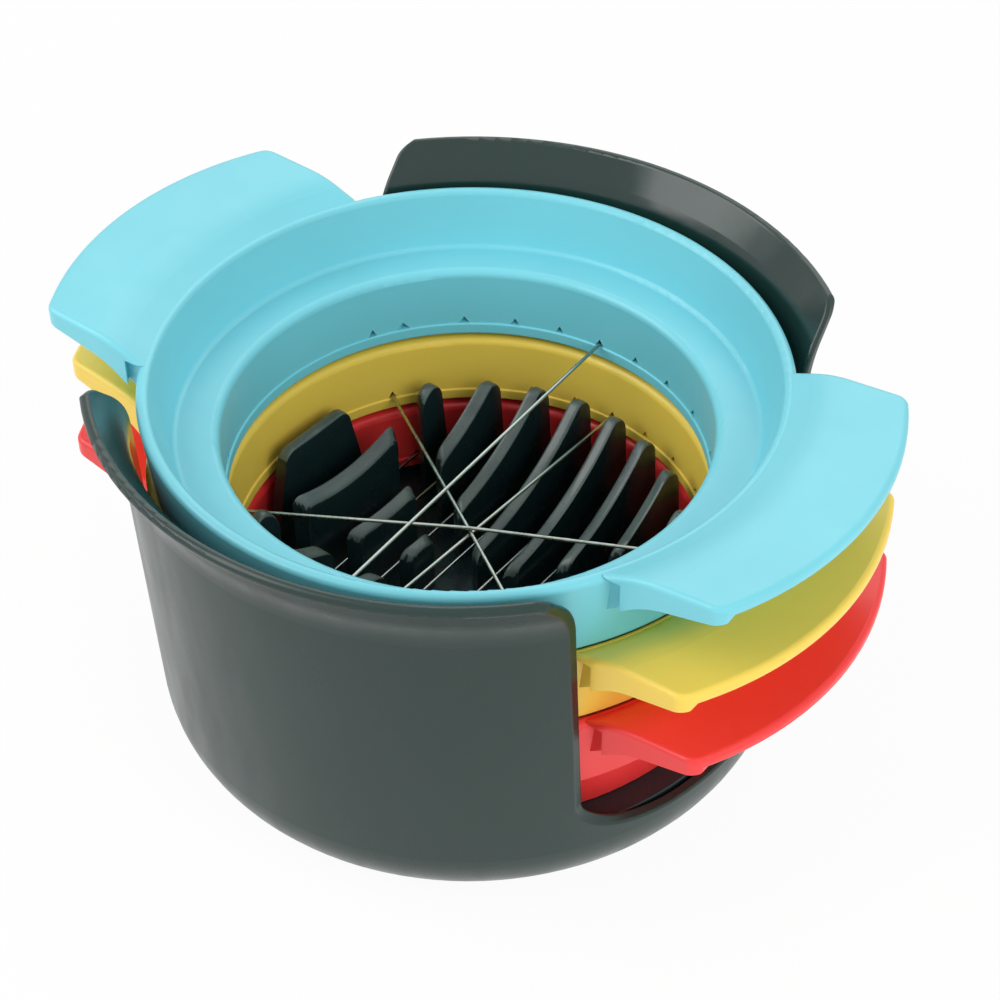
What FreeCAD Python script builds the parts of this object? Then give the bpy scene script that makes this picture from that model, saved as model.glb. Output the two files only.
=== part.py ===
# Stacking egg cutter: an open bowl with a finned egg cradle, and three wire frames that nest in it.
# The top frame halves an egg, the middle one cuts wedges and the bottom one cuts slices.
# Millimetres. Origin at the centre of the bowl's base, +Z up, +X along the handles, wires along Y.
import FreeCAD, Part
import math
import os

V = FreeCAD.Vector
UP = V(0, 0, 1)
AXIS = V(0, 0, 0)

# Bowl: a cup whose wall is cut away at both ends of the X axis to let the handles out
bowl_base_radius = 49.8
bowl_draft = 2.4
bowl_shoulder_height = 62.5
bowl_lip_overhang = 4.7
bowl_lip_rise = 7.35
bowl_wall = 1.7
bowl_floor = 2.0
bowl_corner = 13.5
bowl_flare = 12.0
bowl_edge_round = 0.5
notch_floor = 14.9
notch_foot_round = 7.5
notch_top_round = 2.8
notch_play = 1.5

# Wire frame: rim, funnel, ledge, inner tube and outer skirt, measured in from the bowl and down from the rim
frame_play = 0.55
frame_pitch = 13.85
rim_width = 1.9
rim_gap = 0.3
funnel_run = 2.8
funnel_round = 0.9
ledge_depth = 9.1
ledge_width = 6.9
ledge_thickness = 1.8
ledge_round = 1.3
tube_wall = 1.8
skirt_draft = 1.4
skirt_step = 1.8
stack_play = 0.4
band_wall = 1.3
mould_round = 0.4

# Ring pressed into the frame from below, which traps the wires in the notches of the tube's edge
clamp_thickness = 2.1
clamp_recess = 1.35
clamp_lip = 0.3
clamp_rebate = 1.0
clamp_fit = 0.05

# Handles: a swept plate with a flange under both sides and a relief groove at each flange's root
handle_length = 17.2
handle_half_width = 26.7
handle_end_radius = 52.0
handle_corner = 2.6
handle_thickness = 2.0
handle_rise = 2.6
handle_tip_rise = 3.7
handle_knee = 5.3
handle_sweep = 14.0
handle_start = 0.42
handle_sink = 0.16
handle_edge_round = 0.8
handle_under_round = 0.5
flange_wall = 2.0
flange_root_depth = 6.5
flange_mid_depth = 1.9
flange_tip_rise = 0.8
flange_knee = 6.5
flange_setback = 6.6
relief_width = 2.2
relief_depth = 1.1

# Wires, with a crimped sleeve on each end
slice_wires = 9
wedge_wires = 3
wire_radius = 0.3
wire_play = 0.03
vee_width = 1.5
vee_height = 1.3
crimp_radius = 0.9
crimp_fit = 0.04
crimp_length = 2.2
crimp_gap = 0.1

# Cradle: a plate on a skirt, with rows of fins that hold the egg and leave a slot for every wire
plate_play = 0.5
plate_thickness = 2.0
plate_round = 0.6
cradle_skirt_radius = 35.2
cradle_skirt_wall = 1.8
locator_height = 2.2
locator_wall = 1.6
locator_fit = 0.3
fin_thickness = 2.1
fin_height = 22.1
fin_play = 0.7
fin_draft = 1.5
fin_inset = 0.77
fin_tip_round = 2.5
dish_land = 2.9
dish_depth = 14.5
star_slot = 5.5

# How far the cradle stands turned in the bowl; the wedge frame follows its slots, the slice frame half way
cradle_turn = -4.5

# A wall whose edge is fully rounded takes this share of its thickness as the radius
full_round = 0.48
# How far a cutting block runs past what it cuts
overrun = 5.0


def along(start, end, from_value, to_value, place):
    """The value at a place on the straight line between two values."""
    return from_value + (to_value - from_value) * (place - start) / (end - start)


def chord(radius, offset):
    """Half the length of a circle's chord at an offset from its centre."""
    return math.sqrt(radius ** 2 - offset ** 2)


def wall_inside(level):
    """The radius of the bowl's inner face at a level of its straight wall."""
    outside = along(0, bowl_shoulder_height, bowl_base_radius, bowl_base_radius + bowl_draft, level)
    return outside - bowl_wall


# Levels
plate_top = notch_floor
foot_depth = frame_pitch + ledge_depth
skirt_depth = frame_pitch - rim_gap
tube_depth = foot_depth - clamp_thickness - clamp_recess
red_rim = plate_top + foot_depth
yellow_rim = red_rim + frame_pitch
blue_rim = yellow_rim + frame_pitch
wire_level = -tube_depth + wire_radius + wire_play
fin_top = plate_top + fin_height

# Radii
bowl_shoulder_radius = bowl_base_radius + bowl_draft
rim_radius = wall_inside(red_rim) - frame_play
funnel_foot_radius = rim_radius - rim_width - funnel_run
tube_radius = funnel_foot_radius - ledge_width
tube_outer = tube_radius + tube_wall
skirt_foot_radius = rim_radius - skirt_draft
band_top_radius = skirt_foot_radius - skirt_step
band_foot_radius = funnel_foot_radius - stack_play
band_inner_radius = band_foot_radius - band_wall
clamp_inner = tube_radius - clamp_lip
plate_radius = wall_inside(plate_top - plate_thickness) - plate_play
fin_foot_circle = clamp_inner - fin_play
fin_circle = fin_foot_circle - fin_draft

# Places
handle_reach = rim_radius + handle_length
handle_root = chord(rim_radius, handle_half_width)
notch_plane = chord(rim_radius, handle_half_width + notch_play)
wire_pitch = 2 * (fin_circle - fin_thickness / 2 - fin_inset) / slice_wires
star_angle = 180.0 / wedge_wires
blue_turn = 0.0
yellow_turn = cradle_turn
red_turn = cradle_turn / 2


def rounded_section(corners):
    """A closed face in the XZ plane from corners (x, z, radius), each rounded by its radius."""
    count = len(corners)
    starts = []
    ends = []
    arcs = []
    for i, (x, z, radius) in enumerate(corners):
        here = V(x, 0, z)
        before = V(corners[i - 1][0], 0, corners[i - 1][1]) - here
        after = V(corners[(i + 1) % count][0], 0, corners[(i + 1) % count][1]) - here
        before.normalize()
        after.normalize()
        if radius == 0:
            starts.append(here)
            ends.append(here)
            arcs.append(None)
            continue
        half = before.getAngle(after) / 2
        reach = radius / math.tan(half)
        inward = before + after
        inward.normalize()
        middle = here + inward * (radius / math.sin(half) - radius)
        starts.append(here + before * reach)
        ends.append(here + after * reach)
        arcs.append(middle)
    edges = []
    for i in range(count):
        if arcs[i]:
            edges.append(Part.Arc(starts[i], arcs[i], ends[i]).toShape())
        if not ends[i].isEqual(starts[(i + 1) % count], 1e-6):
            edges.append(Part.LineSegment(ends[i], starts[(i + 1) % count]).toShape())
    return Part.Face(Part.Wire(edges))


def revolved(corners):
    return rounded_section(corners).revolve(AXIS, UP, 360)


def drawn_across(corners, half_width):
    """The XZ section drawn out along Y to both sides."""
    face = rounded_section(corners)
    face.translate(V(0, -half_width, 0))
    return face.extrude(V(0, 2 * half_width, 0))


def tube(outer, inner, low, high):
    height = high - low
    return Part.makeCylinder(outer, height, V(0, 0, low)).cut(Part.makeCylinder(inner, height, V(0, 0, low)))


def turned(shape, degrees):
    copy = shape.copy()
    copy.rotate(AXIS, UP, degrees)
    return copy


def bowl_cup():
    flare = V(bowl_lip_overhang, 0, bowl_lip_rise)
    flare.normalize()
    lip = V(bowl_shoulder_radius + bowl_lip_overhang, 0, bowl_shoulder_height + bowl_lip_rise)
    inner_lip = lip + V(-flare.z, 0, flare.x) * bowl_wall
    inner_shoulder = bowl_shoulder_height + flare.x * bowl_wall / 2
    edge = full_round * bowl_wall
    cup = revolved([
        (0, 0, 0),
        (bowl_base_radius, 0, bowl_corner),
        (bowl_shoulder_radius, bowl_shoulder_height, bowl_flare),
        (lip.x, lip.z, edge),
        (inner_lip.x, inner_lip.z, edge),
        (bowl_shoulder_radius - bowl_wall, inner_shoulder, bowl_flare + bowl_wall),
        (bowl_base_radius - bowl_wall, bowl_floor, bowl_corner - bowl_wall),
        (0, bowl_floor, 0),
    ])
    return cup, lip.x, inner_lip.z


def bowl_notch(reach, top):
    """What is cut from the wall at +X: a round-footed opening, and the round of the wall's top corner."""
    middle = notch_plane - notch_top_round
    opening = drawn_across([
        (notch_plane, notch_floor, notch_foot_round),
        (reach, notch_floor, 0),
        (reach, top, 0),
        (notch_plane, top, 0),
    ], reach)
    corner = drawn_across([
        (notch_plane, top - notch_top_round, 0),
        (notch_plane, top, 0),
        (middle, top, 0),
        (middle, top - notch_top_round, 0),
    ], reach)
    roll = Part.makeCylinder(notch_top_round, 2 * reach, V(middle, -reach, top - notch_top_round), V(0, 1, 0))
    return opening.fuse(corner.cut(roll))


def runs_across(face):
    """Whether a face of the bowl runs along Y, as only the faces of its notches do."""
    surface = face.Surface
    if isinstance(surface, Part.Cylinder):
        return abs(surface.Axis.y) > 0.99
    if isinstance(surface, Part.Plane):
        return abs(surface.Axis.x) > 0.99 or abs(face.CenterOfMass.z - notch_floor) < 1e-3
    return False


def bowl():
    cup, lip_radius, top = bowl_cup()
    notch = bowl_notch(lip_radius + overrun, top)
    cup = cup.cut([notch, turned(notch, 180)])
    edges = []
    for edge in cup.Edges:
        across = [face for face in cup.ancestorsOfType(edge, Part.Face) if runs_across(face)]
        if len(across) == 1:
            edges.append(edge)
    cup = cup.makeFillet(bowl_edge_round, edges)
    outer = cradle_skirt_radius - cradle_skirt_wall - locator_fit
    locator = tube(outer, outer - locator_wall, bowl_floor / 2, bowl_floor + locator_height)
    return cup.fuse(locator).removeSplitter()


def cradle_plate():
    skirt_inner = cradle_skirt_radius - cradle_skirt_wall
    underside = plate_top - plate_thickness
    return revolved([
        (0, underside, 0),
        (skirt_inner, underside, 0),
        (skirt_inner, bowl_floor, 0),
        (cradle_skirt_radius, bowl_floor, 0),
        (cradle_skirt_radius, underside, plate_round),
        (plate_radius, underside, plate_round),
        (plate_radius, plate_top, plate_round),
        (0, plate_top, 0),
    ])


def fin(middle):
    """One upright fin along Y, with ends that lean in to its round tips."""
    seat = plate_top - plate_thickness / 2
    outer = abs(middle) + fin_thickness / 2
    foot = chord(fin_foot_circle, outer)
    tip = chord(fin_circle, outer)
    face = rounded_section([
        (-foot, seat, 0),
        (foot, seat, 0),
        (tip, fin_top, fin_tip_round),
        (-tip, fin_top, fin_tip_round),
    ])
    face.translate(V(0, middle - fin_thickness / 2, 0))
    return turned(face.extrude(V(0, fin_thickness, 0)), -90)


def cradle_fins():
    """Rows of fins, hollowed to a dish and parted by the slots of the slanting wedge wires."""
    dish_circle = fin_circle - dish_land
    dish_radius = (dish_circle ** 2 + dish_depth ** 2) / (2 * dish_depth)
    dish = Part.makeSphere(dish_radius, V(0, 0, fin_top - dish_depth + dish_radius))
    reach = fin_foot_circle + overrun
    slot = Part.makeBox(star_slot, 2 * reach, fin_height + overrun, V(-star_slot / 2, -reach, plate_top))
    cutters = [dish] + [turned(slot, angle) for offset, angle in wedge_lines()[1:]]
    pieces = []
    for i in range(slice_wires + 1):
        row = fin((i - slice_wires / 2) * wire_pitch)
        pieces += row.cut(cutters).Solids
    return pieces


def cradle():
    return turned(cradle_plate().fuse(cradle_fins()).removeSplitter(), cradle_turn)


def frame_ring():
    rim = full_round * rim_width
    underside = -ledge_depth - ledge_thickness
    return revolved([
        (rim_radius, 0, rim),
        (skirt_foot_radius, -skirt_depth, mould_round),
        (band_top_radius, -skirt_depth, mould_round),
        (band_foot_radius, -foot_depth, mould_round),
        (band_inner_radius, -foot_depth, mould_round),
        (band_inner_radius, underside, mould_round),
        (tube_outer, underside, mould_round),
        (tube_outer, -tube_depth, 0),
        (tube_radius, -tube_depth, 0),
        (tube_radius, -ledge_depth, ledge_round),
        (funnel_foot_radius, -ledge_depth, funnel_round),
        (rim_radius - rim_width, 0, rim),
    ])


def handle_outline(inset, low, high):
    """The handle's plan, drawn in by inset, as an upright block."""
    height = high - low
    half = handle_half_width - inset
    block = Part.makeBox(handle_reach + overrun, 2 * half, height, V(0, -half, low))
    end = Part.makeCylinder(handle_end_radius - inset, height, V(handle_reach - handle_end_radius, 0, low))
    block = block.common(end)
    corners = []
    for edge in block.Edges:
        box = edge.BoundBox
        if box.ZLength > height / 2 and box.XLength < 1e-3 and box.XMin > handle_root:
            corners.append(edge)
    return block.makeFillet(handle_corner - inset, corners)


def swept_line(drop):
    """Corners of the line that the handle's top follows outwards from the rim, sunk by drop."""
    crest = rim_radius - rim_width / 2
    knee = crest + handle_knee
    far = handle_reach + overrun
    far_rise = along(knee, handle_reach, handle_rise, handle_tip_rise, far)
    return [
        (crest - handle_start, -handle_sink - drop, 0),
        (knee, handle_rise - drop, handle_sweep),
        (far, far_rise - drop, 0),
    ]


def outer_edges(plate, side):
    """The plate's edges where its upright sides meet its upper face (side 1) or its lower face (side -1)."""
    found = []
    for edge in plate.Edges:
        upright = 0
        level = 0
        for face in plate.ancestorsOfType(edge, Part.Face):
            u0, u1, v0, v1 = face.ParameterRange
            lean = face.normalAt((u0 + u1) / 2, (v0 + v1) / 2).z
            if abs(lean) < 0.05:
                upright += 1
            elif lean * side > 0.3:
                level += 1
        if upright == 1 and level == 1 and edge.BoundBox.XMax > rim_radius:
            found.append(edge)
    return found


def handle():
    low = -flange_root_depth - overrun
    high = handle_tip_rise + overrun
    outline = handle_outline(0, low, high)
    plate = revolved(swept_line(0) + swept_line(handle_thickness)[::-1]).common(outline)
    plate = plate.makeFillet(handle_edge_round, outer_edges(plate, 1))
    plate = plate.makeFillet(handle_under_round, outer_edges(plate, -1))
    middle = swept_line(handle_thickness / 2)
    below = revolved(middle + [(middle[-1][0], low, 0), (middle[0][0], low, 0)])
    flange_end = handle_reach - flange_setback
    curb = drawn_across([
        (handle_root - rim_width, -flange_root_depth, 0),
        (handle_root, -flange_root_depth, 0),
        (handle_root + flange_knee, -flange_mid_depth, handle_sweep),
        (flange_end, flange_tip_rise, mould_round),
        (flange_end, high, 0),
        (handle_root - rim_width, high, 0),
    ], handle_half_width + overrun)
    wall = outline.cut(handle_outline(flange_wall, low, high))
    flanges = wall.common(curb).common(below)
    body = plate.fuse(flanges)
    body = body.cut(Part.makeCylinder(rim_radius - rim_width, high - low, V(0, 0, low)))
    relief = tube(rim_radius + relief_width, rim_radius - rim_width, low, 0)
    keep = handle_half_width - relief_depth
    inner = Part.makeBox(2 * handle_reach, 2 * keep, -low, V(-handle_reach, -keep, low))
    return body.cut(relief.cut(inner))


def wire_vees(lines):
    """Prisms that cut a V into both sides of the tube's lower edge, one for each (offset, angle)."""
    reach = (tube_outer + band_inner_radius) / 2
    cutters = []
    for offset, angle in lines:
        half = chord(reach, offset)
        corners = [
            V(offset - vee_width / 2, -half, -tube_depth),
            V(offset, -half, -tube_depth + vee_height),
            V(offset + vee_width / 2, -half, -tube_depth),
            V(offset, -half, -tube_depth - vee_height),
        ]
        face = Part.Face(Part.makePolygon(corners + corners[:1]))
        cutters.append(turned(face.extrude(V(0, 2 * half, 0)), angle))
    return cutters


def slice_lines():
    return [((i - (slice_wires - 1) / 2) * wire_pitch, 0) for i in range(slice_wires)]


def wedge_lines():
    return [(0, i * star_angle) for i in range(wedge_wires)]


def frame():
    """One frame moulding; all three come from the same mould, so each has every wire's notches."""
    grip = handle()
    body = frame_ring().fuse([grip, turned(grip, 180)])
    return body.cut(wire_vees(slice_lines() + wedge_lines()[1:])).removeSplitter()


def clamp_ring():
    outer = band_inner_radius - clamp_fit
    foot = -tube_depth - clamp_thickness
    rebate = -tube_depth - clamp_rebate
    return revolved([
        (clamp_inner, -tube_depth, clamp_lip),
        (clamp_inner, foot, mould_round),
        (outer, foot, mould_round),
        (outer, rebate, mould_round),
        (tube_outer, rebate, 0),
        (tube_outer, -tube_depth, 0),
    ])


def wire_run(offset, lift):
    """A wire along Y that is lifted at its middle: its middle, and where its crimps start and end."""
    clear = tube_outer + crimp_gap
    start = chord(clear, abs(offset) - crimp_radius)
    stop = start + crimp_length
    return V(offset, 0, wire_level + lift), start, stop, -lift / stop


def wire(offset, angle, lift):
    middle, start, stop, slope = wire_run(offset, lift)
    halves = []
    for side in (1, -1):
        run = V(0, side * stop, slope * stop)
        halves.append(Part.makeCylinder(wire_radius, run.Length, middle, run))
    joint = Part.makeSphere(wire_radius, middle)
    return turned(joint.fuse(halves).removeSplitter(), angle)


def crimps(offset, angle, lift):
    middle, start, stop, slope = wire_run(offset, lift)
    pair = []
    for side in (1, -1):
        base = middle + V(0, side * start, slope * start)
        run = V(0, side * crimp_length, slope * crimp_length)
        sleeve = Part.makeCylinder(crimp_radius, run.Length, base, run)
        bore = Part.makeCylinder(wire_radius + crimp_fit, run.Length, base, run)
        pair.append(turned(sleeve.cut(bore), angle))
    return pair


def placed(shape, turn, level):
    copy = turned(shape, turn)
    copy.translate(V(0, 0, level))
    return copy


def strung_frame(colour, cut, lines, step, turn, rim):
    """A frame with its clamp ring, its wires and their crimps; each wire crosses a step above the last."""
    pieces = {colour + "_frame": frame(), colour + "_clamp_ring": clamp_ring()}
    sleeves = []
    for i, (offset, angle) in enumerate(lines):
        name = colour + "_" + cut + "_wire"
        if len(lines) > 1:
            name += "_" + str(i + 1)
        pieces[name] = wire(offset, angle, i * step)
        sleeves += crimps(offset, angle, i * step)
    pieces[colour + "_wire_crimps"] = Part.makeCompound(sleeves)
    return {name: placed(shape, turn, rim) for name, shape in pieces.items()}


def main():
    crossing = 2 * (wire_radius + wire_play)
    pieces = {"bowl": bowl(), "egg_cradle": cradle()}
    pieces.update(strung_frame("blue", "halving", [(0, 0)], 0, blue_turn, blue_rim))
    pieces.update(strung_frame("yellow", "wedge", wedge_lines(), crossing, yellow_turn, yellow_rim))
    pieces.update(strung_frame("red", "slicing", slice_lines(), 0, red_turn, red_rim))
    os.makedirs("parts", exist_ok=True)
    for name, shape in pieces.items():
        shape.exportStep(os.path.join("parts", name + ".step"))
        print(name, "valid" if shape.isValid() else "NOT VALID", len(shape.Solids), round(shape.Volume, 1))


main()
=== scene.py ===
"""Looks of a stacking egg cutter: moulded plastics, steel wires, a finned cradle and a white studio."""
import math

import bmesh
import bpy
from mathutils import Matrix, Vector


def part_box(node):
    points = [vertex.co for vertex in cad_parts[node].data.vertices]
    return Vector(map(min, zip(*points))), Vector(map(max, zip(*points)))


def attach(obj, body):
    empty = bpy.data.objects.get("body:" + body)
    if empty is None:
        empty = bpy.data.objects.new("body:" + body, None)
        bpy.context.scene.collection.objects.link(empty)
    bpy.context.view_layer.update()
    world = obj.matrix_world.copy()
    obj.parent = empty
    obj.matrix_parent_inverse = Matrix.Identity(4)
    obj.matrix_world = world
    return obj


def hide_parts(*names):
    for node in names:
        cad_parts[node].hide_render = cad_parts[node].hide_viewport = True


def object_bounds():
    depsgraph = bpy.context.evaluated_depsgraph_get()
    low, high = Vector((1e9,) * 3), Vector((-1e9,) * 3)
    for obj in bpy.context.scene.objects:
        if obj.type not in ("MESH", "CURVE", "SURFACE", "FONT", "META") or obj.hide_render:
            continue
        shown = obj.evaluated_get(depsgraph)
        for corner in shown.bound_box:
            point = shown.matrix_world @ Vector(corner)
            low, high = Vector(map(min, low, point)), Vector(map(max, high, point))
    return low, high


bl_info = {
    "name": "Egg Cutter Looks",
    "version": (1, 0, 0),
    "blender": (4, 5, 0),
    "location": "3D View > Sidebar > Egg Cutter",
    "description": "Dresses the stacking egg cutter on its fixed frame and sets up its studio",
    "category": "Object",
}

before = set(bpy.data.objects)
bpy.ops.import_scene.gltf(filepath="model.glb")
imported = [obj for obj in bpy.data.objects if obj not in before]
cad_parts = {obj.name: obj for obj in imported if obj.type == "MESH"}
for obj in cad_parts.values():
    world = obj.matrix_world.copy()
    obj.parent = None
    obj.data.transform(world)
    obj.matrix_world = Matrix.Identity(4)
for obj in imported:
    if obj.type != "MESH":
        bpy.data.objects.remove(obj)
cad_low, cad_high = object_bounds()

MM = 0.001
# Distance between two slicing wires, and between two fins
SLICE_PITCH = 7.351 * MM
# Degrees that the cradle and the wedge frame stand turned in their seats
CRADLE_TURN = -4.5

# Faces of the fins that look upwards more than this are painted paler: a painted sheen of the overhead light,
# partly rubbing wear
SHEEN_SLOPE = 0.45
# How softly the dish runs into the fins' flat tops
DISH_BLEND = 1.2 * MM
# Points across and along a fin, points along a wire, sides of a wire and of the plate
FIN_POINTS = (9, 161)
WIRE_POINTS = 9
WIRE_SIDES = 14
PLATE_SEGMENTS = 160
# How many times longer than the fins' circle and top level the slots' cutters are
CUTTER_EXCESS = 3
# Edges of the fins sharper than this, in degrees, are bevelled
BEVEL_ANGLE = 55

# Finishes: roughness, strength of the flow clouds and strength of the mould grain
BOWL_FINISH = (0.3, 0.06, 0.05)
CRADLE_FINISH = (0.28, 0.05, 0.04)
FRAME_FINISH = (0.34, 0.03, 0.1)
# How much smoother the bowl's wall is inside
BOWL_POLISH = 0.14
# The facing, along the way out from the Z axis, that counts as fully inwards and as not at all inwards
INWARD_FACING = (-0.8, -0.3)
# Sizes of the patterns in the finishes, in repeats per metre
FLOW_SCALE = 38
# Size and spread of the patches of the fins' painted sheen on their upward faces
SHEEN_SCALE = 260
SHEEN_RANGE = (0.45, 1)
SCUFF_SCALE = 220
GRAIN_SCALE = 1100
STREAK_SCALE = 900
STREAK_TINTS = (0.8, 1.1)
GRAIN_HEIGHT = 0.05 * MM
# How far handling scuffs lower and raise the roughness
SCUFF_RANGE = (-0.05, 0.06)
STEEL_ROUGHNESS = (0.22, 0.36)
PLASTIC_IOR = 1.5

# How much of the floor that the camera sees is plain white; the rest shows the object's shadow
WHITE_SHARE = 0.94
FLOOR_GREY = 0.9

FRAME_COLOURS = ("blue", "yellow", "red")
WIRE_NODES = {
    name: [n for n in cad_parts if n.startswith(name) and "_wire" in n and "crimps" not in n]
    for name in FRAME_COLOURS
}


def middle_of(low, high):
    return (low + high) / 2


def wire_gauge():
    """Half the height of the one level wire of the top frame."""
    low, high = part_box("blue_halving_wire")
    return (high.z - low.z) / 2


def wire_level(name):
    """The height of a frame's lowest wire, measured at the wire's axis."""
    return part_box(sorted(WIRE_NODES[name])[0])[0].z + wire_gauge()


def length(label, about, default):
    return bpy.props.FloatProperty(
        name=label, description=about, default=default, min=0, unit="LENGTH", precision=5
    )


def turn(label, about, degrees):
    return bpy.props.FloatProperty(
        name=label, description=about, default=math.radians(degrees), subtype="ANGLE"
    )


def power(label, about, watts):
    return bpy.props.FloatProperty(name=label, description=about, default=watts, min=0, unit="POWER")


def linear(level):
    """One channel of a display colour, from 0 to 255, as the light it stands for."""
    share = level / 255
    return share / 12.92 if share <= 0.04045 else ((share + 0.055) / 1.055) ** 2.4


def colour(label, about, red, green, blue):
    default = tuple(linear(level) for level in (red, green, blue))
    return bpy.props.FloatVectorProperty(
        name=label, description=about, default=default, size=3, min=0, max=1, subtype="COLOR"
    )


class CradleSizes(bpy.types.PropertyGroup):
    rows: bpy.props.IntProperty(
        name="Fin rows", description="Rows of fins across the cradle", default=10, min=2
    )
    pitch: length("Fin pitch", "Distance between the middles of two rows", SLICE_PITCH)
    thickness: length("Fin thickness", "Thickness of one fin", 2.1 * MM)
    circle: length("Fin circle", "Radius of the round outline of the fins' tips", 34.9 * MM)
    foot_circle: length("Foot circle", "Radius of the round outline of the fins' feet", 36.4 * MM)
    top: length("Fin top", "Level of the fins' flat tops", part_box("egg_cradle")[1].z)
    tip_round: length("Tip round", "Radius of the fins' outer top corners", 2.5 * MM)
    edge_round: length("Edge round", "Radius of the fins' long top edges", 0.5 * MM)
    slot_round: length("Slot round", "Radius of the fins' top corners beside the slots", 1.8 * MM)
    corner_round: length("Corner round", "Width of the bevel where the slots part the fins", 0.25 * MM)
    dish_circle: length("Dish circle", "Radius of the egg's dish at the fins' tops", 32.0 * MM)
    dish_depth: length("Dish depth", "Depth of the egg's dish below the fins' tops", 14.5 * MM)
    slot: length("Star slot", "Width of the slots of the slanting wedge wires", 5.5 * MM)
    slot_angle: turn("Slot angle", "Angle between the wedge wires", 60)
    turned: turn("Cradle turn", "How far the cradle stands turned in the bowl", CRADLE_TURN)
    plate_top: length("Plate top", "Level of the plate that the bottom frame stands on", 14.9 * MM)
    plate_thickness: length("Plate thickness", "Thickness of the plate", 2.0 * MM)
    plate_round: length("Plate round", "Rounding of the plate's edge", 0.6 * MM)
    skirt_radius: length("Skirt radius", "Outer radius of the skirt that carries the plate", 35.2 * MM)
    skirt_wall: length("Skirt wall", "Thickness of the skirt", 1.8 * MM)


class WireSizes(bpy.types.PropertyGroup):
    radius: length("Wire radius", "Radius of the cutting wires", wire_gauge())
    reach: length("Wire reach", "Distance of the wires' ends from the middle", 41.5 * MM)
    pitch: length("Slice pitch", "Distance between two slicing wires", SLICE_PITCH)
    step: length("Crossing step", "How much higher each wedge wire crosses than the last", 0.66 * MM)
    fan: turn("Wedge angle", "Angle between two wedge wires", 60)
    yellow_turn: turn("Yellow turn", "How far the wedge frame is turned in its seat", CRADLE_TURN)
    red_turn: turn("Red turn", "How far the slicing frame is turned in its seat", CRADLE_TURN / 2)


class PlasticColours(bpy.types.PropertyGroup):
    bowl: colour("Bowl", "Nearly black plastic of the bowl", 22, 47, 42)
    cradle: colour("Cradle", "Black plastic of the finned cradle", 22, 39, 41)
    # Paler colour painted on the fins' upward faces: a painted sheen of the overhead light, partly rubbing
    # wear
    rubbed: colour("Rubbed", "Paler tops of the fins, where eggs rub them", 92, 104, 100)
    blue: colour("Blue", "Plastic of the halving frame", 120, 208, 222)
    yellow: colour("Yellow", "Plastic of the wedge frame", 248, 212, 88)
    red: colour("Red", "Plastic of the slicing frame", 240, 58, 58)
    wire: colour("Wire", "Drawn steel of the wires", 172, 178, 172)


class StudioSizes(bpy.types.PropertyGroup):
    focal_length: bpy.props.FloatProperty(
        name="Focal length", description="Focal length on a 36 mm sensor", default=82.8, min=1, unit="CAMERA"
    )
    floor: length("Floor", "Width of the floor", 4.0)
    key_power: power("Key", "Power of the main softbox", 2.4)
    fill_power: power("Fill", "Power of the softbox beside the camera", 1.8)
    back_power: power("Back", "Power of the softbox behind the object", 1.0)
    ambient: bpy.props.FloatProperty(
        name="Ambient", description="Strength of the white surroundings", default=0.44, min=0
    )


def new_node(tree, kind, links=None, **settings):
    """A node with its settings, whose inputs are values or other nodes' outputs."""
    made = tree.nodes.new(kind)
    for name, value in settings.items():
        setattr(made, name, value)
    for name, source in (links or {}).items():
        if isinstance(source, bpy.types.NodeSocket):
            tree.links.new(source, made.inputs[name])
        else:
            made.inputs[name].default_value = source
    return made


def maths(tree, operation, *values):
    links = dict(enumerate(values))
    return new_node(tree, "ShaderNodeMath", links, operation=operation).outputs[0]


def joined(tree, x=0.0, y=0.0, z=0.0):
    return new_node(tree, "ShaderNodeCombineXYZ", {0: x, 1: y, 2: z}).outputs[0]


def shape_tree(name, inputs):
    """An empty Geometry Nodes tree with named inputs, and the sockets of those inputs."""
    tree = bpy.data.node_groups.new(name, "GeometryNodeTree")
    for label, kind in inputs.items():
        tree.interface.new_socket(label, in_out="INPUT", socket_type="NodeSocket" + kind)
    tree.interface.new_socket("Geometry", in_out="OUTPUT", socket_type="NodeSocketGeometry")
    sockets = tree.nodes.new("NodeGroupInput").outputs
    return tree, {label: sockets[label] for label in inputs}


def close_tree(tree, geometry, material):
    realized = new_node(tree, "GeometryNodeRealizeInstances", {"Geometry": geometry}).outputs[0]
    painted = new_node(tree, "GeometryNodeSetMaterial", {"Geometry": realized, "Material": material})
    new_node(tree, "NodeGroupOutput", {"Geometry": painted.outputs[0]})


def grown(name, tree, values):
    """A plain mesh object made by a Geometry Nodes tree with these input values."""
    piece = bpy.data.objects.new(name, bpy.data.meshes.new(name))
    bpy.context.scene.collection.objects.link(piece)
    modifier = piece.modifiers.new("shape", "NODES")
    modifier.node_group = tree
    for item in tree.interface.items_tree:
        if item.in_out == "INPUT":
            modifier[item.identifier] = values[item.name]
    settle(piece)
    return piece


def settle(piece):
    """Turns a piece and its modifiers into a plain mesh."""
    bpy.context.view_layer.update()
    evaluated = piece.evaluated_get(bpy.context.evaluated_depsgraph_get())
    mesh = bpy.data.meshes.new_from_object(evaluated)
    piece.modifiers.clear()
    piece.data = mesh
    mesh.name = piece.name


def smoothed(piece, crease=35):
    piece.data.shade_smooth()
    piece.data.set_sharp_from_angle(angle=math.radians(crease))


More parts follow.
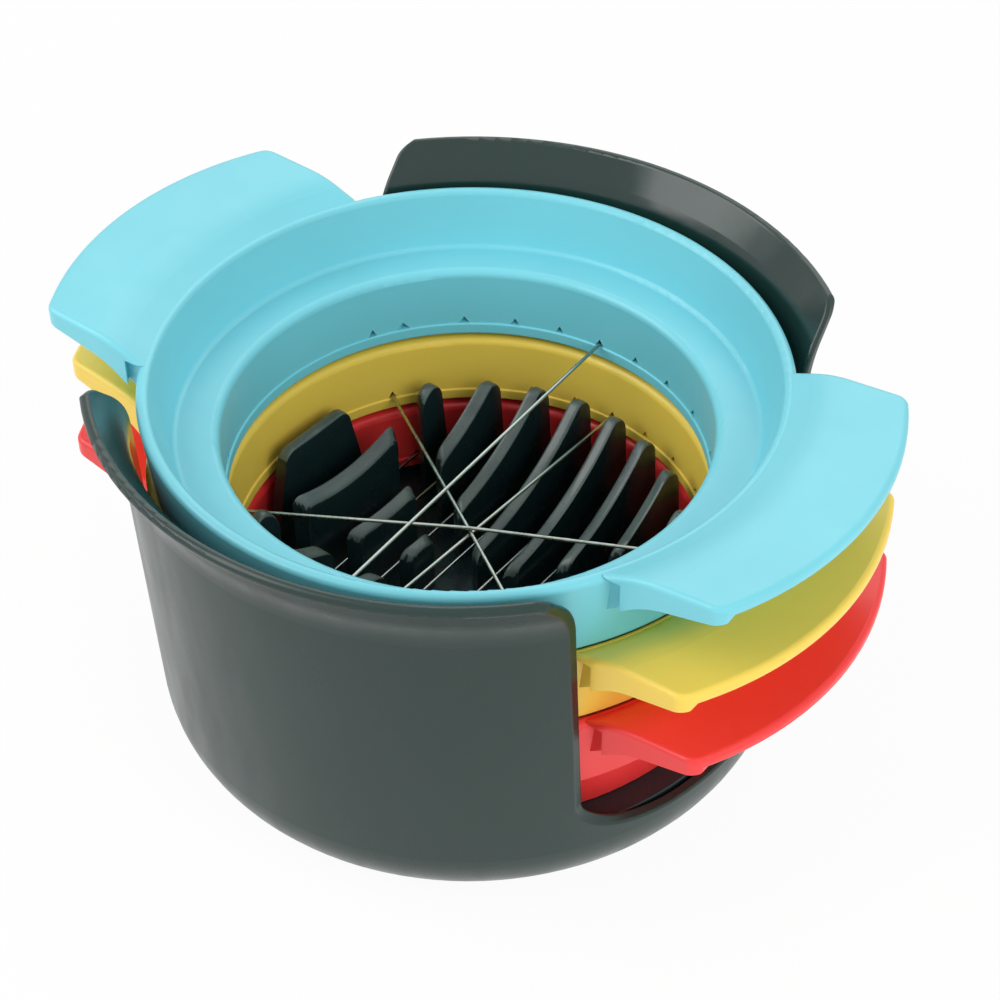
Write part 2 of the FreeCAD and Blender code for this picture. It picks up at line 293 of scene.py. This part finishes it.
def lathe(name, profile, segments, material):
    """A mesh turned about Z from a closed profile of (radius, level) points."""
    shell = bmesh.new()
    rings = []
    for radius, level in profile:
        if radius == 0:
            rings.append([shell.verts.new((0, 0, level))] * segments)
            continue
        angles = [math.tau * i / segments for i in range(segments)]
        rings.append([shell.verts.new((radius * math.cos(a), radius * math.sin(a), level)) for a in angles])
    for ring, following in zip(rings, rings[1:] + rings[:1]):
        for i in range(segments):
            after = (i + 1) % segments
            corners = dict.fromkeys((ring[i], ring[after], following[after], following[i]))
            if len(corners) > 2:
                shell.faces.new(list(corners))
    bmesh.ops.recalc_face_normals(shell, faces=shell.faces)
    mesh = bpy.data.meshes.new(name)
    shell.to_mesh(mesh)
    shell.free()
    mesh.materials.append(material)
    piece = bpy.data.objects.new(name, mesh)
    bpy.context.scene.collection.objects.link(piece)
    return piece


def arc(centre, radius, start, stop, steps=6):
    """Points on an arc in a profile, with its angles in degrees."""
    angles = [math.radians(start + (stop - start) * i / steps) for i in range(steps + 1)]
    return [(centre[0] + radius * math.cos(a), centre[1] + radius * math.sin(a)) for a in angles]


def new_material(name):
    material = bpy.data.materials.new(name)
    material.use_nodes = True
    tree = material.node_tree
    shader = tree.nodes["Principled BSDF"]
    place = new_node(tree, "ShaderNodeTexCoord").outputs["Object"]
    return material, tree, shader, place


def noise(tree, place, scale, detail=2.0, stretch=(1, 1, 1)):
    if stretch != (1, 1, 1):
        place = new_node(tree, "ShaderNodeMapping", {"Vector": place, "Scale": stretch}).outputs[0]
    links = {"Vector": place, "Scale": scale, "Detail": detail}
    return new_node(tree, "ShaderNodeTexNoise", links).outputs["Fac"]


def spread(tree, value, low, high, from_low=0.3, from_high=0.7):
    links = {"Value": value, "From Min": from_low, "From Max": from_high, "To Min": low, "To Max": high}
    return new_node(tree, "ShaderNodeMapRange", links).outputs["Result"]


def tint(colour_value, factor):
    return (*[min(1, channel * factor) for channel in colour_value], 1)


def blended(tree, factor, first, second):
    """A colour between two others, each given as a colour or as another node's output."""
    mix = new_node(tree, "ShaderNodeMix", {"Factor": factor}, data_type="RGBA")
    sockets = [socket for socket in mix.inputs if socket.type == "RGBA"]
    for socket, source in zip(sockets, (first, second)):
        if isinstance(source, bpy.types.NodeSocket):
            tree.links.new(source, socket)
        else:
            socket.default_value = source
    return [socket for socket in mix.outputs if socket.type == "RGBA"][0]


def looks_inwards(tree, place):
    """1 where a face looks towards the Z axis, and 0 where it looks up, down or outwards."""
    level = new_node(tree, "ShaderNodeVectorMath", {0: place, 1: (1, 1, 0)}, operation="MULTIPLY")
    outwards = new_node(tree, "ShaderNodeVectorMath", {0: level.outputs[0]}, operation="NORMALIZE")
    normal = new_node(tree, "ShaderNodeNewGeometry").outputs["Normal"]
    links = {0: outwards.outputs[0], 1: normal}
    facing = new_node(tree, "ShaderNodeVectorMath", links, operation="DOT_PRODUCT").outputs["Value"]
    return spread(tree, facing, 1, 0, *INWARD_FACING)


def moulded_plastic(name, colour_value, finish, sheen_and_wear_colour=None, inside_gloss=0):
    """Satin moulded plastic: faint flow clouds in its colour, a fine mould grain and handling scuffs."""
    material, tree, shader, place = new_material(name)
    roughness, cloud, grain = finish
    clouds = spread(tree, noise(tree, place, FLOW_SCALE, 3.0), 0, 1)
    result = blended(tree, clouds, tint(colour_value, 1 - cloud), tint(colour_value, 1 + cloud))
    # Faces marked as looking upwards are painted paler in patches: a painted sheen of the overhead light,
    # partly rubbing wear
    if sheen_and_wear_colour:
        rubbed = new_node(tree, "ShaderNodeAttribute", attribute_name="rubbed").outputs["Fac"]
        patches = spread(tree, noise(tree, place, SHEEN_SCALE, 3.0, (1, 0.3, 1)), *SHEEN_RANGE)
        result = blended(tree, maths(tree, "MULTIPLY", rubbed, patches), result, tint(sheen_and_wear_colour, 1))
    tree.links.new(result, shader.inputs["Base Color"])
    scuffs = noise(tree, place, SCUFF_SCALE, 4.0, (1, 1, 0.25))
    smoothest, roughest = [roughness + change for change in SCUFF_RANGE]
    rough = spread(tree, scuffs, smoothest, roughest)
    if inside_gloss:
        polished = maths(tree, "MULTIPLY", looks_inwards(tree, place), inside_gloss)
        rough = maths(tree, "SUBTRACT", rough, polished)
    tree.links.new(rough, shader.inputs["Roughness"])
    fine = noise(tree, place, GRAIN_SCALE, 2.0)
    bump = new_node(tree, "ShaderNodeBump", {"Height": fine, "Strength": grain, "Distance": GRAIN_HEIGHT})
    tree.links.new(bump.outputs[0], shader.inputs["Normal"])
    shader.inputs["IOR"].default_value = PLASTIC_IOR
    return material


def drawn_steel(name, colour_value):
    """Bright drawn wire with faint streaks along its length."""
    material, tree, shader, place = new_material(name)
    streaks = noise(tree, place, STREAK_SCALE, 3.0, (1, 0.05, 1))
    darker, brighter = [tint(colour_value, factor) for factor in STREAK_TINTS]
    result = blended(tree, spread(tree, streaks, 0, 1), darker, brighter)
    tree.links.new(result, shader.inputs["Base Color"])
    tree.links.new(spread(tree, streaks, *STEEL_ROUGHNESS), shader.inputs["Roughness"])
    shader.inputs["Metallic"].default_value = 1.0
    return material


def paint(node, material):
    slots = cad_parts[node].data.materials
    slots.clear()
    slots.append(material)


def fin_tree():
    """Rows of upright fins whose ends lean in to round tips, dished for the egg and parted by two slots."""
    lengths = ["Pitch", "Thickness", "Circle", "Foot Circle", "Seat", "Top", "Tip Round", "Edge Round"]
    lengths += ["Slot Round", "Dish Circle", "Dish Depth", "Slot", "Slot Angle", "Turn"]
    inputs = {"Rows": "Int", **{label: "Float" for label in lengths}, "Material": "Material"}
    tree, value = shape_tree("cradle_fins", inputs)
    half_rows = maths(tree, "DIVIDE", maths(tree, "SUBTRACT", value["Rows"], 1), 2)
    first = maths(tree, "MULTIPLY", maths(tree, "MULTIPLY", half_rows, value["Pitch"]), -1)
    line = new_node(tree, "GeometryNodeMeshLine", {
        "Count": value["Rows"], "Start Location": joined(tree, first), "Offset": joined(tree, value["Pitch"]),
    })
    block = new_node(tree, "GeometryNodeMeshCube", {
        "Size": (2, 2, 2), "Vertices X": FIN_POINTS[0], "Vertices Y": FIN_POINTS[1], "Vertices Z": 2,
    })
    local = tree.nodes.new("GeometryNodeInputPosition").outputs[0]
    marked = new_node(tree, "GeometryNodeStoreNamedAttribute", {
        "Geometry": block.outputs[0], "Name": "local", "Value": local,
    }, data_type="FLOAT_VECTOR", domain="POINT")
    rows = new_node(tree, "GeometryNodeInstanceOnPoints", {
        "Points": line.outputs[0], "Instance": marked.outputs[0],
    })
    solid = new_node(tree, "GeometryNodeRealizeInstances", {"Geometry": rows.outputs[0]}).outputs[0]
    stored = new_node(tree, "GeometryNodeInputNamedAttribute", {"Name": "local"}, data_type="FLOAT_VECTOR")
    part = new_node(tree, "ShaderNodeSeparateXYZ", {0: stored.outputs[0]}).outputs
    whole = new_node(tree, "ShaderNodeSeparateXYZ", {0: local}).outputs
    quarter = math.pi / 2
    half = maths(tree, "DIVIDE", value["Thickness"], 2)
    inside = maths(tree, "MULTIPLY", maths(tree, "SINE", maths(tree, "MULTIPLY", part[0], quarter)), half)
    middle = maths(tree, "SUBTRACT", whole[0], part[0])
    x = maths(tree, "ADD", middle, inside)
    outer = maths(tree, "ADD", maths(tree, "ABSOLUTE", middle), half)
    foot = chord(tree, value["Foot Circle"], outer)
    lean = maths(tree, "SUBTRACT", foot, chord(tree, value["Circle"], outer))
    tall = maths(tree, "SUBTRACT", value["Top"], value["Seat"])
    below_round = maths(tree, "SUBTRACT", 1.0, maths(tree, "DIVIDE", value["Tip Round"], tall))
    upper = maths(tree, "SUBTRACT", foot, maths(tree, "MULTIPLY", lean, below_round))
    is_top = maths(tree, "GREATER_THAN", part[2], 0)
    reach = maths(tree, "ADD", foot, maths(tree, "MULTIPLY", is_top, maths(tree, "SUBTRACT", upper, foot)))
    along = maths(tree, "SINE", maths(tree, "MULTIPLY", part[1], quarter))
    y = maths(tree, "MULTIPLY", along, reach)
    spread_squared = maths(tree, "ADD", square(tree, x), square(tree, y))
    doubled = maths(tree, "MULTIPLY", value["Dish Depth"], 2)
    sum_squared = maths(tree, "ADD", square(tree, value["Dish Circle"]), square(tree, value["Dish Depth"]))
    ball = maths(tree, "DIVIDE", sum_squared, doubled)
    ball_level = maths(tree, "ADD", maths(tree, "SUBTRACT", value["Top"], value["Dish Depth"]), ball)
    fall = maths(tree, "SQRT", maths(tree, "SUBTRACT", square(tree, ball), spread_squared))
    dish = maths(tree, "SUBTRACT", ball_level, fall)
    crown = maths(tree, "SMOOTH_MIN", dish, value["Top"], DISH_BLEND)
    from_tip = maths(tree, "SUBTRACT", upper, maths(tree, "ABSOLUTE", y))
    drops = [rounded_drop(tree, from_tip, value["Tip Round"])]
    side = maths(tree, "SUBTRACT", half, maths(tree, "ABSOLUTE", inside))
    drops.append(rounded_drop(tree, side, value["Edge Round"]))
    across = maths(tree, "MULTIPLY", x, maths(tree, "COSINE", value["Slot Angle"]))
    down = maths(tree, "MULTIPLY", y, maths(tree, "SINE", value["Slot Angle"]))
    for operation in ("ADD", "SUBTRACT"):
        from_slot = maths(tree, "ABSOLUTE", maths(tree, operation, across, down))
        beside = maths(tree, "SUBTRACT", from_slot, maths(tree, "DIVIDE", value["Slot"], 2))
        drops.append(rounded_drop(tree, beside, value["Slot Round"]))
    height = crown
    for drop in drops:
        height = maths(tree, "SUBTRACT", height, drop)
    rise = maths(tree, "MULTIPLY", is_top, maths(tree, "SUBTRACT", height, value["Seat"]))
    z = maths(tree, "ADD", value["Seat"], rise)
    shaped = new_node(tree, "GeometryNodeSetPosition", {"Geometry": solid, "Position": joined(tree, x, y, z)})
    long = maths(tree, "MULTIPLY", value["Circle"], CUTTER_EXCESS)
    high = maths(tree, "MULTIPLY", value["Top"], CUTTER_EXCESS)
    cutter = new_node(tree, "GeometryNodeMeshCube", {"Size": joined(tree, value["Slot"], long, high)})
    cut = new_node(tree, "GeometryNodeMeshBoolean", {"Mesh 1": shaped.outputs[0]}, operation="DIFFERENCE")
    for sign in (1, -1):
        spin = joined(tree, 0.0, 0.0, maths(tree, "MULTIPLY", value["Slot Angle"], sign))
        slanted = new_node(tree, "GeometryNodeTransform", {"Geometry": cutter.outputs[0], "Rotation": spin})
        tree.links.new(slanted.outputs[0], cut.inputs["Mesh 2"])
    # Marks the faces that look upwards, which the plastic paints paler as a painted sheen, partly rubbing
    # wear
    normal = tree.nodes.new("GeometryNodeInputNormal").outputs[0]
    upward = new_node(tree, "ShaderNodeSeparateXYZ", {0: normal}).outputs[2]
    has_sheen_and_wear = maths(tree, "GREATER_THAN", upward, SHEEN_SLOPE)
    rubbed = new_node(tree, "GeometryNodeStoreNamedAttribute", {
        "Geometry": cut.outputs[0], "Name": "rubbed", "Value": has_sheen_and_wear,
    }, data_type="FLOAT", domain="FACE")
    turned = new_node(tree, "GeometryNodeTransform", {
        "Geometry": rubbed.outputs[0], "Rotation": joined(tree, 0.0, 0.0, value["Turn"]),
    })
    close_tree(tree, turned.outputs[0], value["Material"])
    return tree


def chord(tree, radius, offset):
    """Half the length of a circle's chord at an offset from its centre."""
    return maths(tree, "SQRT", maths(tree, "SUBTRACT", square(tree, radius), square(tree, offset)))


def square(tree, value):
    return maths(tree, "MULTIPLY", value, value)


def rounded_drop(tree, inset, radius):
    """How far a rounded edge falls below a flat top, at a distance in from its side."""
    short = maths(tree, "MAXIMUM", maths(tree, "SUBTRACT", radius, inset), 0.0)
    rest = maths(tree, "SUBTRACT", square(tree, radius), square(tree, short))
    left = maths(tree, "SQRT", maths(tree, "MAXIMUM", rest, 0.0))
    return maths(tree, "SUBTRACT", radius, left)


def wire_tree():
    """Taut wires in a row or a fan; each is lifted at its middle by a step more than the last."""
    lengths = ["Pitch", "Fan", "Turn", "Reach", "Radius", "Level", "Step"]
    inputs = {"Count": "Int", **{label: "Float" for label in lengths}, "Material": "Material"}
    tree, value = shape_tree("cutting_wires", inputs)
    index = tree.nodes.new("GeometryNodeInputIndex").outputs[0]
    last = maths(tree, "SUBTRACT", value["Count"], 1)
    from_middle_wire = maths(tree, "SUBTRACT", index, maths(tree, "DIVIDE", last, 2))
    offset = maths(tree, "MULTIPLY", from_middle_wire, value["Pitch"])
    points = new_node(tree, "GeometryNodePoints", {"Count": value["Count"], "Position": joined(tree, offset)})
    lift = maths(tree, "MULTIPLY", index, value["Step"])
    marked = new_node(tree, "GeometryNodeStoreNamedAttribute", {
        "Geometry": points.outputs[0], "Name": "lift", "Value": lift,
    }, data_type="FLOAT", domain="POINT")
    half = chord(tree, value["Reach"], offset)
    line = new_node(tree, "GeometryNodeCurvePrimitiveLine", {"Start": (0, -1, 0), "End": (0, 1, 0)})
    bent = new_node(tree, "GeometryNodeResampleCurve", {"Curve": line.outputs[0], "Count": WIRE_POINTS})
    runs = new_node(tree, "GeometryNodeInstanceOnPoints", {
        "Points": marked.outputs[0],
        "Instance": bent.outputs[0],
        "Rotation": joined(tree, 0.0, 0.0, maths(tree, "MULTIPLY", index, value["Fan"])),
        "Scale": joined(tree, 1.0, half, 1.0),
    })
    real = new_node(tree, "GeometryNodeRealizeInstances", {"Geometry": runs.outputs[0]}).outputs[0]
    stored = new_node(tree, "GeometryNodeInputNamedAttribute", {"Name": "lift"}, data_type="FLOAT").outputs[0]
    along = tree.nodes.new("GeometryNodeSplineParameter").outputs["Factor"]
    from_middle = maths(tree, "ABSOLUTE", maths(tree, "SUBTRACT", maths(tree, "MULTIPLY", along, 2), 1))
    raised = maths(tree, "MULTIPLY", stored, maths(tree, "SUBTRACT", 1.0, from_middle))
    level = maths(tree, "ADD", value["Level"], raised)
    lifted = new_node(tree, "GeometryNodeSetPosition", {
        "Geometry": real, "Offset": joined(tree, 0.0, 0.0, level),
    })
    ring = new_node(tree, "GeometryNodeCurvePrimitiveCircle", {
        "Resolution": WIRE_SIDES, "Radius": value["Radius"],
    })
    tube = new_node(tree, "GeometryNodeCurveToMesh", {
        "Curve": lifted.outputs[0], "Profile Curve": ring.outputs[0], "Fill Caps": True,
    })
    turned = new_node(tree, "GeometryNodeTransform", {
        "Geometry": tube.outputs[0], "Rotation": joined(tree, 0.0, 0.0, value["Turn"]),
    })
    close_tree(tree, turned.outputs[0], value["Material"])
    return tree


class EGG_CUTTER_OT_bowl(bpy.types.Operator):
    """Finishes the bowl in nearly black satin plastic"""
    bl_idname = "egg_cutter.bowl"
    bl_label = "Bowl"

    def execute(self, context):
        colours = context.scene.egg_cutter_colours
        plastic = moulded_plastic("bowl_satin_black", colours.bowl, BOWL_FINISH, inside_gloss=BOWL_POLISH)
        paint("bowl", plastic)
        return {"FINISHED"}


class EGG_CUTTER_OT_cradle(bpy.types.Operator):
    """Makes the cradle's dished fins and the plate and skirt that carry them"""
    bl_idname = "egg_cutter.cradle"
    bl_label = "Egg cradle"

    def execute(self, context):
        sizes = context.scene.egg_cutter_cradle
        colours = context.scene.egg_cutter_colours
        # The cradle's plastic paints the fins' upward faces paler: a painted sheen, partly rubbing wear
        plastic = moulded_plastic("cradle_gloss_black", colours.cradle, CRADLE_FINISH, colours.rubbed)
        fins = grown("cradle_fins", fin_tree(), {
            "Rows": sizes.rows, "Pitch": sizes.pitch, "Thickness": sizes.thickness, "Circle": sizes.circle,
            "Foot Circle": sizes.foot_circle, "Seat": sizes.plate_top - sizes.plate_thickness / 2,
            "Top": sizes.top, "Tip Round": sizes.tip_round, "Edge Round": sizes.edge_round,
            "Slot Round": sizes.slot_round, "Dish Circle": sizes.dish_circle, "Dish Depth": sizes.dish_depth,
            "Slot": sizes.slot, "Slot Angle": sizes.slot_angle, "Turn": sizes.turned, "Material": plastic,
        })
        bevel = fins.modifiers.new("slot_corners", "BEVEL")
        bevel.width = sizes.corner_round
        bevel.segments = 2
        bevel.limit_method = "ANGLE"
        bevel.angle_limit = math.radians(BEVEL_ANGLE)
        settle(fins)
        smoothed(fins)
        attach(fins, "bowl_set")
        plate = self.plate(sizes, plastic)
        smoothed(plate)
        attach(plate, "bowl_set")
        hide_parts("egg_cradle")
        return {"FINISHED"}

    def plate(self, sizes, plastic):
        low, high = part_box("egg_cradle")
        outer = high.x
        top = sizes.plate_top
        under = top - sizes.plate_thickness
        corner = sizes.plate_round
        inner = sizes.skirt_radius - sizes.skirt_wall
        profile = [(0, under), (inner, under), (inner, low.z), (sizes.skirt_radius, low.z)]
        profile += [(sizes.skirt_radius, under)]
        profile += arc((outer - corner, under + corner), corner, -90, 0)
        profile += arc((outer - corner, top - corner), corner, 0, 90)
        profile += [(0, top)]
        return lathe("cradle_plate", profile, PLATE_SEGMENTS, plastic)


class EGG_CUTTER_OT_frames(bpy.types.Operator):
    """Finishes the three frame mouldings and their clamp rings"""
    bl_idname = "egg_cutter.frames"
    bl_label = "Wire frames"

    def execute(self, context):
        colours = context.scene.egg_cutter_colours
        for name in FRAME_COLOURS:
            plastic = moulded_plastic(name + "_satin_plastic", getattr(colours, name), FRAME_FINISH)
            paint(name + "_frame", plastic)
            paint(name + "_clamp_ring", plastic)
        return {"FINISHED"}


class EGG_CUTTER_OT_wires(bpy.types.Operator):
    """Strings the frames: one halving wire, a star of wedge wires and a row of slicing wires"""
    bl_idname = "egg_cutter.wires"
    bl_label = "Cutting wires"

    def execute(self, context):
        sizes = context.scene.egg_cutter_wires
        steel = drawn_steel("wire_drawn_steel", context.scene.egg_cutter_colours.wire)
        tree = wire_tree()
        strung = {
            "blue": {"Pitch": 0.0, "Fan": 0.0, "Turn": 0.0, "Step": 0.0},
            "yellow": {"Pitch": 0.0, "Fan": sizes.fan, "Turn": sizes.yellow_turn, "Step": sizes.step},
            "red": {"Pitch": sizes.pitch, "Fan": 0.0, "Turn": sizes.red_turn, "Step": 0.0},
        }
        for name, values in strung.items():
            values["Count"] = len(WIRE_NODES[name])
            values["Level"] = wire_level(name)
            values["Reach"] = sizes.reach
            values["Radius"] = sizes.radius
            values["Material"] = steel
            wires = grown(name + "_wires", tree, values)
            smoothed(wires)
            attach(wires, name + "_cutter")
            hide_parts(*WIRE_NODES[name])
            paint(name + "_wire_crimps", steel)
        return {"FINISHED"}


class EGG_CUTTER_OT_stage(bpy.types.Operator):
    """Sets the white floor, the softboxes and the camera"""
    bl_idname = "egg_cutter.stage"
    bl_label = "Studio"

    # The camera's place, and its turn in degrees, at the photograph's viewing angle
    camera_place = (157.099 * MM, -217.823 * MM, 276.896 * MM)
    camera_turn = (48.5396, 0.4327, 34.4018)
    # Each softbox: metres to the right, up and towards the camera, and its width
    key_place = (-0.5, 0.42, 0.05)
    key_width = 0.5
    fill_place = (0.3, 0.3, 0.4)
    fill_width = 0.4
    back_place = (0.1, 0.5, -0.5)
    back_width = 0.5

    def execute(self, context):
        studio = context.scene.egg_cutter_studio
        scene = context.scene
        scene.view_settings.view_transform = "Standard"
        scene.camera = self.camera(studio)
        self.surroundings(scene, studio)
        self.floor(studio)
        self.softbox("key", self.key_place, self.key_width, studio.key_power)
        fill = self.softbox("fill", self.fill_place, self.fill_width, studio.fill_power)
        # The fill lightens the shaded sides without a reflection in the bowl's polished wall
        fill.visible_glossy = False
        self.softbox("back", self.back_place, self.back_width, studio.back_power)
        return {"FINISHED"}

    def camera(self, studio):
        data = bpy.data.cameras.new("camera")
        data.sensor_width = 36.0
        data.lens = studio.focal_length
        data.clip_start = 0.01
        camera = bpy.data.objects.new("camera", data)
        camera.location = self.camera_place
        camera.rotation_euler = [math.radians(angle) for angle in self.camera_turn]
        bpy.context.scene.collection.objects.link(camera)
        return camera

    def sees_white(self, tree):
        """1 for rays that should meet a white background, 0 for those that light the object."""
        path = new_node(tree, "ShaderNodeLightPath").outputs
        seen = maths(tree, "MAXIMUM", path["Is Camera Ray"], path["Is Glossy Ray"])
        return maths(tree, "MAXIMUM", seen, path["Is Transmission Ray"])

    def surroundings(self, scene, studio):
        world = bpy.data.worlds.new("white_surroundings")
        world.use_nodes = True
        tree = world.node_tree
        tree.nodes.clear()
        light = new_node(tree, "ShaderNodeBackground", {"Color": (1, 1, 1, 1), "Strength": studio.ambient})
        white = new_node(tree, "ShaderNodeBackground", {"Color": (1, 1, 1, 1), "Strength": 1.0})
        seen = self.sees_white(tree)
        mix = new_node(tree, "ShaderNodeMixShader", {0: seen, 1: light.outputs[0], 2: white.outputs[0]})
        new_node(tree, "ShaderNodeOutputWorld", {"Surface": mix.outputs[0]})
        scene.world = world

    def floor(self, studio):
        half = studio.floor / 2
        mesh = bpy.data.meshes.new("floor")
        corners = [(-half, -half, 0), (half, -half, 0), (half, half, 0), (-half, half, 0)]
        mesh.from_pydata(corners, [], [(0, 1, 2, 3)])
        floor = bpy.data.objects.new("floor", mesh)
        bpy.context.scene.collection.objects.link(floor)
        material = bpy.data.materials.new("floor_white")
        material.use_nodes = True
        tree = material.node_tree
        tree.nodes.clear()
        matt = new_node(tree, "ShaderNodeBsdfDiffuse", {"Color": (FLOOR_GREY, FLOOR_GREY, FLOOR_GREY, 1)})
        white = new_node(tree, "ShaderNodeEmission", {"Color": (1, 1, 1, 1), "Strength": 1.0})
        share = maths(tree, "MULTIPLY", self.sees_white(tree), WHITE_SHARE)
        mix = new_node(tree, "ShaderNodeMixShader", {0: share, 1: matt.outputs[0], 2: white.outputs[0]})
        new_node(tree, "ShaderNodeOutputMaterial", {"Surface": mix.outputs[0]})
        mesh.materials.append(material)

    def softbox(self, name, place, width, watts):
        """A square light at a place right of, above and in front of the object, as the camera sees it."""
        heading = math.radians(self.camera_turn[2])
        right = Vector((math.cos(heading), math.sin(heading), 0))
        towards = Vector((math.sin(heading), -math.cos(heading), 0))
        data = bpy.data.lights.new(name, "AREA")
        data.shape = "SQUARE"
        data.size = width
        data.energy = watts
        lamp = bpy.data.objects.new(name, data)
        centre = middle_of(cad_low, cad_high)
        lamp.location = centre + right * place[0] + Vector((0, 0, place[1])) + towards * place[2]
        lamp.rotation_euler = (centre - lamp.location).to_track_quat("-Z", "Y").to_euler()
        bpy.context.scene.collection.objects.link(lamp)
        return lamp


PIECE_OPERATORS = (
    EGG_CUTTER_OT_bowl,
    EGG_CUTTER_OT_cradle,
    EGG_CUTTER_OT_frames,
    EGG_CUTTER_OT_wires,
    EGG_CUTTER_OT_stage,
)
SETTINGS = {
    "egg_cutter_cradle": CradleSizes,
    "egg_cutter_wires": WireSizes,
    "egg_cutter_colours": PlasticColours,
    "egg_cutter_studio": StudioSizes,
}


class EGG_CUTTER_PT_panel(bpy.types.Panel):
    """Lists the pieces and their sizes and colours"""
    bl_idname = "EGG_CUTTER_PT_panel"
    bl_label = "Egg Cutter"
    bl_space_type = "VIEW_3D"
    bl_region_type = "UI"
    bl_category = "Egg Cutter"

    def draw(self, context):
        for operator in PIECE_OPERATORS:
            self.layout.operator(operator.bl_idname)
        for setting, group in SETTINGS.items():
            box = self.layout.box()
            for name in group.__annotations__:
                box.prop(getattr(context.scene, setting), name)


def register():
    for group in SETTINGS.values():
        bpy.utils.register_class(group)
    for setting, group in SETTINGS.items():
        setattr(bpy.types.Scene, setting, bpy.props.PointerProperty(type=group))
    for operator in PIECE_OPERATORS:
        bpy.utils.register_class(operator)
    bpy.utils.register_class(EGG_CUTTER_PT_panel)


def unregister():
    bpy.utils.unregister_class(EGG_CUTTER_PT_panel)
    for operator in reversed(PIECE_OPERATORS):
        bpy.utils.unregister_class(operator)
    for setting, group in SETTINGS.items():
        delattr(bpy.types.Scene, setting)
        bpy.utils.unregister_class(group)


def main():
    register()
    bpy.ops.egg_cutter.bowl()
    bpy.ops.egg_cutter.cradle()
    bpy.ops.egg_cutter.frames()
    bpy.ops.egg_cutter.wires()
    bpy.ops.egg_cutter.stage()


if __name__ == "__main__":
    main()
